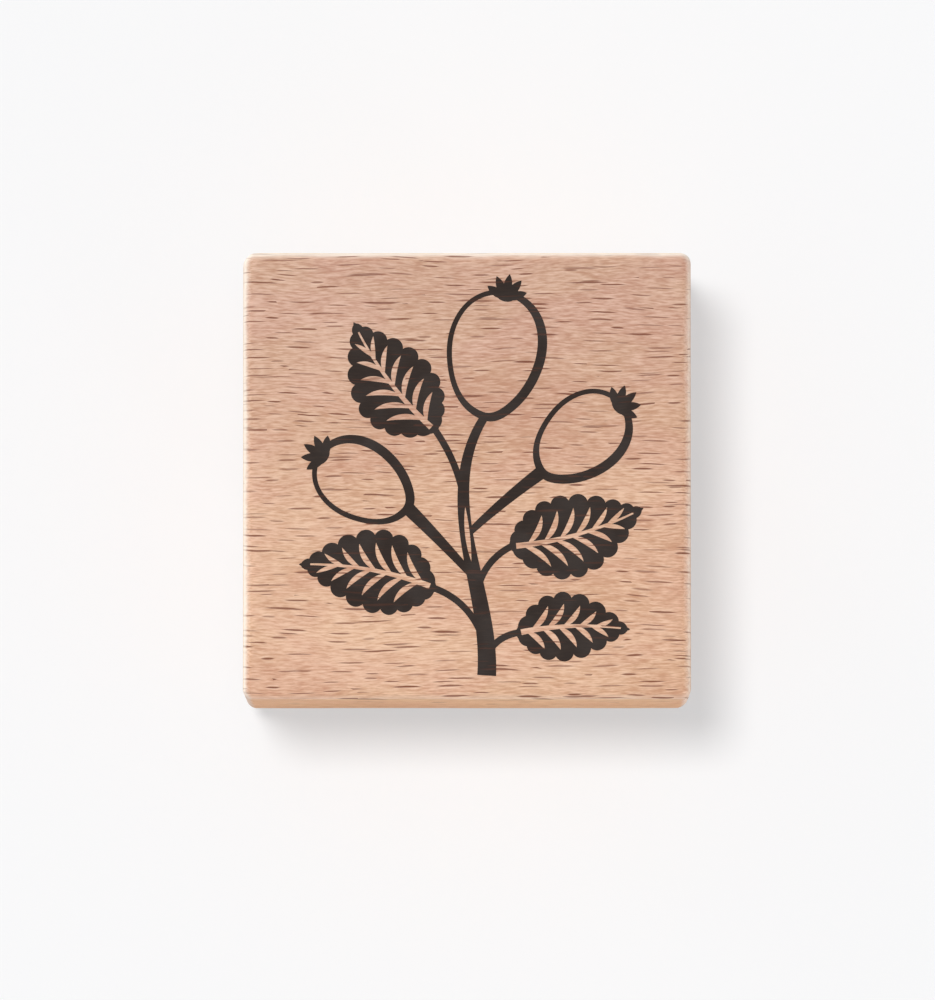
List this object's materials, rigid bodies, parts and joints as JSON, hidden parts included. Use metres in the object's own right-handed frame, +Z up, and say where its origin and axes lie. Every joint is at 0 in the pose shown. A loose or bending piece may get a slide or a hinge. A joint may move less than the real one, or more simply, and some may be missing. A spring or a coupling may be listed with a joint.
{
  "type": "rubber stamp",
  "caption": "Wood-mounted rubber stamp: square beech block with a printed sprig design on top, foam cushion and engraved rubber die below.",
  "frame": {"origin": "on the printing face of the die, under the centre of the block", "axes": "+Z up from the printing face to the printed top of the block, +X along the grain, +Y towards the top of the design"},
  "size_m": [0.05, 0.05, 0.0295],
  "materials": {
    "beech": "fine-sanded bare beech",
    "ink": "matt dried printing ink",
    "tape": "clear double-sided adhesive film",
    "foam": "closed-cell foam with knife-cut edges",
    "rubber": "matt engraved stamp rubber"
  },
  "bodies": {
    "block": {"wood_block": "beech", "index_print": "ink", "block_tape": "tape", "foam_cushion": "foam"},
    "die": {"die_tape": "tape", "rubber_die": "rubber"}
  },
  "joints": [
    {"name": "cushion_press", "type": "slide", "parent": "block", "child": "die", "axis": [0, 0, 1], "range_m": [0, 0.0009], "stiffness_N_per_m": 1000, "springref_m": -0.0006, "deforming": ["foam_cushion"]}
  ]
}
